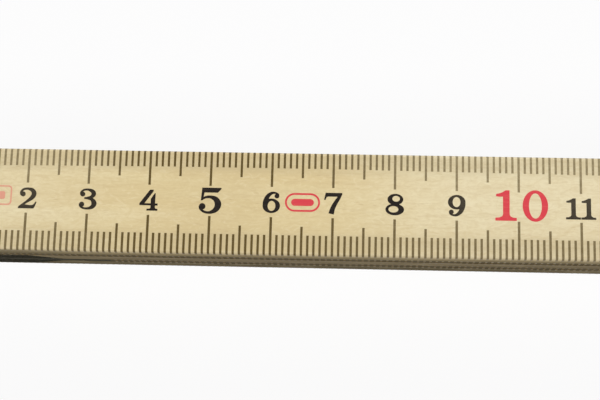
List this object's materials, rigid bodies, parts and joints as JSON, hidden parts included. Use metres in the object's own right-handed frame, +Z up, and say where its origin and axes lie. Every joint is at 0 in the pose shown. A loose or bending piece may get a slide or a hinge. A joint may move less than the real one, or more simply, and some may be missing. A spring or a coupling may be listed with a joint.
{
  "type": "folding rule",
  "caption": "Wooden folding rule of flat legs joined by riveted steel spring hinges, with a steel cap on each end; the first legs are folded together and the rest lie opened out from them.",
  "frame": {"origin": "on the table, under the middle of the rule in its drawn position; it lies under the axis of the hinge that stands open", "axes": "+X along the rule from the start of the scale, +Y across its width, +Z up through the stack of legs"},
  "size_m": [0.432, 0.017, 0.0388],
  "materials": {
    "wood": "satin clear varnish",
    "hinge_steel": "dull zinc-plated spring steel",
    "cap_steel": "satin",
    "brass_rivet": "satin, slightly worn"
  },
  "bodies": {
    "leg_1": {"leg_01": "wood", "start_cap": "cap_steel", "start_cap_rivet": "brass_rivet", "hinge_1_spring_plate": "hinge_steel", "hinge_1_spring_plate_rivets": "brass_rivet", "hinge_1_pivot_rivet": "brass_rivet"},
    "leg_2": {"leg_02": "wood", "hinge_1_catch_plate": "hinge_steel", "hinge_1_catch_plate_rivets": "brass_rivet", "hinge_2_spring_plate": "hinge_steel", "hinge_2_spring_plate_rivets": "brass_rivet", "hinge_2_pivot_rivet": "brass_rivet"},
    "leg_3": {"leg_03": "wood", "hinge_2_catch_plate": "hinge_steel", "hinge_2_catch_plate_rivets": "brass_rivet", "hinge_3_spring_plate": "hinge_steel", "hinge_3_spring_plate_rivets": "brass_rivet", "hinge_3_pivot_rivet": "brass_rivet"},
    "leg_4": {"leg_04": "wood", "hinge_3_catch_plate": "hinge_steel", "hinge_3_catch_plate_rivets": "brass_rivet", "hinge_4_spring_plate": "hinge_steel", "hinge_4_spring_plate_rivets": "brass_rivet", "hinge_4_pivot_rivet": "brass_rivet"},
    "leg_5": {"leg_05": "wood", "hinge_4_catch_plate": "hinge_steel", "hinge_4_catch_plate_rivets": "brass_rivet", "hinge_5_spring_plate": "hinge_steel", "hinge_5_spring_plate_rivets": "brass_rivet", "hinge_5_pivot_rivet": "brass_rivet"},
    "leg_6": {"leg_06": "wood", "hinge_5_catch_plate": "hinge_steel", "hinge_5_catch_plate_rivets": "brass_rivet", "hinge_6_spring_plate": "hinge_steel", "hinge_6_spring_plate_rivets": "brass_rivet", "hinge_6_pivot_rivet": "brass_rivet"},
    "leg_7": {"leg_07": "wood", "hinge_6_catch_plate": "hinge_steel", "hinge_6_catch_plate_rivets": "brass_rivet", "hinge_7_spring_plate": "hinge_steel", "hinge_7_spring_plate_rivets": "brass_rivet", "hinge_7_pivot_rivet": "brass_rivet"},
    "leg_8": {"leg_08": "wood", "hinge_7_catch_plate": "hinge_steel", "hinge_7_catch_plate_rivets": "brass_rivet", "hinge_8_spring_plate": "hinge_steel", "hinge_8_spring_plate_rivets": "brass_rivet", "hinge_8_pivot_rivet": "brass_rivet"},
    "leg_9": {"leg_09": "wood", "hinge_8_catch_plate": "hinge_steel", "hinge_8_catch_plate_rivets": "brass_rivet", "hinge_9_spring_plate": "hinge_steel", "hinge_9_spring_plate_rivets": "brass_rivet", "hinge_9_pivot_rivet": "brass_rivet"},
    "leg_10": {"leg_10": "wood", "hinge_9_catch_plate": "hinge_steel", "hinge_9_catch_plate_rivets": "brass_rivet", "end_cap": "cap_steel", "end_cap_rivet": "brass_rivet"}
  },
  "joints": [
    {"name": "hinge_1", "type": "hinge", "parent": "leg_1", "child": "leg_2", "pos_m": [0, 0, 0.035], "axis": [0, 0, 1], "range_deg": [0, 180]},
    {"name": "hinge_2", "type": "hinge", "parent": "leg_2", "child": "leg_3", "pos_m": [-0.196, 0, 0.0311], "axis": [0, 0, -1], "range_deg": [0, 180]},
    {"name": "hinge_3", "type": "hinge", "parent": "leg_3", "child": "leg_4", "pos_m": [0, 0, 0.0272], "axis": [0, 0, 1], "range_deg": [-180, 0]},
    {"name": "hinge_4", "type": "hinge", "parent": "leg_4", "child": "leg_5", "pos_m": [0.196, 0, 0.0233], "axis": [0, 0, -1], "range_deg": [0, 180]},
    {"name": "hinge_5", "type": "hinge", "parent": "leg_5", "child": "leg_6", "pos_m": [0, 0, 0.0194], "axis": [0, 0, 1], "range_deg": [0, 180]},
    {"name": "hinge_6", "type": "hinge", "parent": "leg_6", "child": "leg_7", "pos_m": [0.196, 0, 0.0155], "axis": [0, 0, -1], "range_deg": [0, 180]},
    {"name": "hinge_7", "type": "hinge", "parent": "leg_7", "child": "leg_8", "pos_m": [0, 0, 0.0116], "axis": [0, 0, 1], "range_deg": [0, 180]},
    {"name": "hinge_8", "type": "hinge", "parent": "leg_8", "child": "leg_9", "pos_m": [0.196, 0, 0.0077], "axis": [0, 0, -1], "range_deg": [0, 180]},
    {"name": "hinge_9", "type": "hinge", "parent": "leg_9", "child": "leg_10", "pos_m": [0, 0, 0.0038], "axis": [0, 0, 1], "range_deg": [0, 180]}
  ]
}
